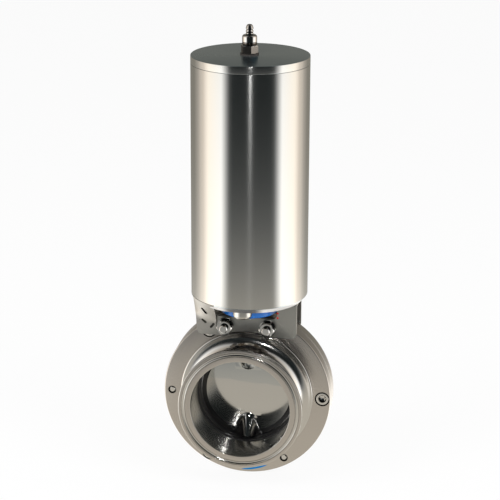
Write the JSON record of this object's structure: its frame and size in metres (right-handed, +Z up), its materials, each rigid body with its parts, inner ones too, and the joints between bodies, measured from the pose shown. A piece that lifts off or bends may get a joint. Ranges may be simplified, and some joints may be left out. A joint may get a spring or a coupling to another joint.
{
  "type": "pneumatic butterfly valve",
  "caption": "Hygienic butterfly valve with clamp ferrules and a flared quarter-turn disc, worked by an upright spring-return air actuator with a helical cam.",
  "frame": {"origin": "point where the bore axis crosses the stem axis, in the middle of the disc", "axes": "+Z up along the stem to the actuator, -Y out of the front port, +X to the right seen from the front"},
  "size_m": [0.1238, 0.0846, 0.3356],
  "materials": {
    "polished_body": "polished stainless hub, neck and ferrule with a satin flange face",
    "seat_rubber": "smooth black elastomer",
    "disc_polish": "mirror polished stainless",
    "bush_plastic": "natural white bearing plastic",
    "ring_rubber": "black sealing rubber",
    "screw_steel": "plain stainless fasteners",
    "plate_steel": "satin sheet stainless",
    "tube_steel": "satin tube, drawn lengthwise",
    "cap_steel": "fine turned grey metal",
    "spring_steel": "dark spring steel",
    "bearing_bronze": "sintered bronze",
    "shaft_steel": "ground steel",
    "piston_metal": "turned aluminium",
    "indicator_blue": "glossy blue moulded plastic",
    "mark_red": "glossy red plastic",
    "fitting_nickel": "bright nickel plate",
    "washer_fibre": "pressed sealing fibre",
    "vent_metal": "turned metal breather"
  },
  "bodies": {
    "housing": {"body_half_front": "polished_body", "body_half_rear": "polished_body", "seat": "seat_rubber", "upper_stem_bush": "bush_plastic", "lower_stem_bush": "bush_plastic", "stem_o_ring": "ring_rubber", "front_body_screws": "screw_steel", "rear_body_screws": "screw_steel", "bracket_plate_front": "plate_steel", "bracket_plate_rear": "plate_steel", "switch_guard": "plate_steel", "guard_screws": "screw_steel", "bracket_bolts": "screw_steel", "bracket_nuts": "screw_steel", "bracket_washers": "screw_steel", "bracket_fixing_screws": "screw_steel", "actuator_tube": "tube_steel", "bottom_cover": "cap_steel", "top_cap": "cap_steel", "cover_o_ring": "ring_rubber", "cap_o_ring": "ring_rubber", "cover_snap_ring": "spring_steel", "cap_snap_ring": "spring_steel", "sealing_washer": "washer_fibre", "air_fitting_base": "fitting_nickel", "air_nipple": "fitting_nickel", "vent_plug": "vent_metal", "shaft_bearing": "bearing_bronze", "shaft_wiper": "ring_rubber", "thrust_washer": "bush_plastic", "guide_rods": "shaft_steel", "return_spring": "spring_steel"},
    "rotor": {"disc_and_stem": "disc_polish", "cam_shaft": "shaft_steel", "shaft_circlip": "spring_steel", "indicator_ring": "indicator_blue", "indicator_marks": "mark_red"},
    "piston_group": {"piston": "piston_metal", "piston_seal": "ring_rubber", "guide_band": "bush_plastic", "piston_rod": "shaft_steel", "cross_pin": "shaft_steel", "rod_nut": "screw_steel"}
  },
  "joints": [
    {"name": "disc_turn", "type": "hinge", "parent": "housing", "child": "rotor", "pos_m": [0, 0, 0], "axis": [0, 0, 1], "range_deg": [0, 90]},
    {"name": "piston_slide", "type": "slide", "parent": "housing", "child": "piston_group", "axis": [0, 0, -1], "range_m": [0, 0.032], "stiffness_N_per_m": 4000, "springref_m": -0.015, "deforming": ["return_spring"]}
  ],
  "couplings": [
    {"joint": "disc_turn", "follows": "piston_slide", "rad_per_m": 49.087}
  ]
}
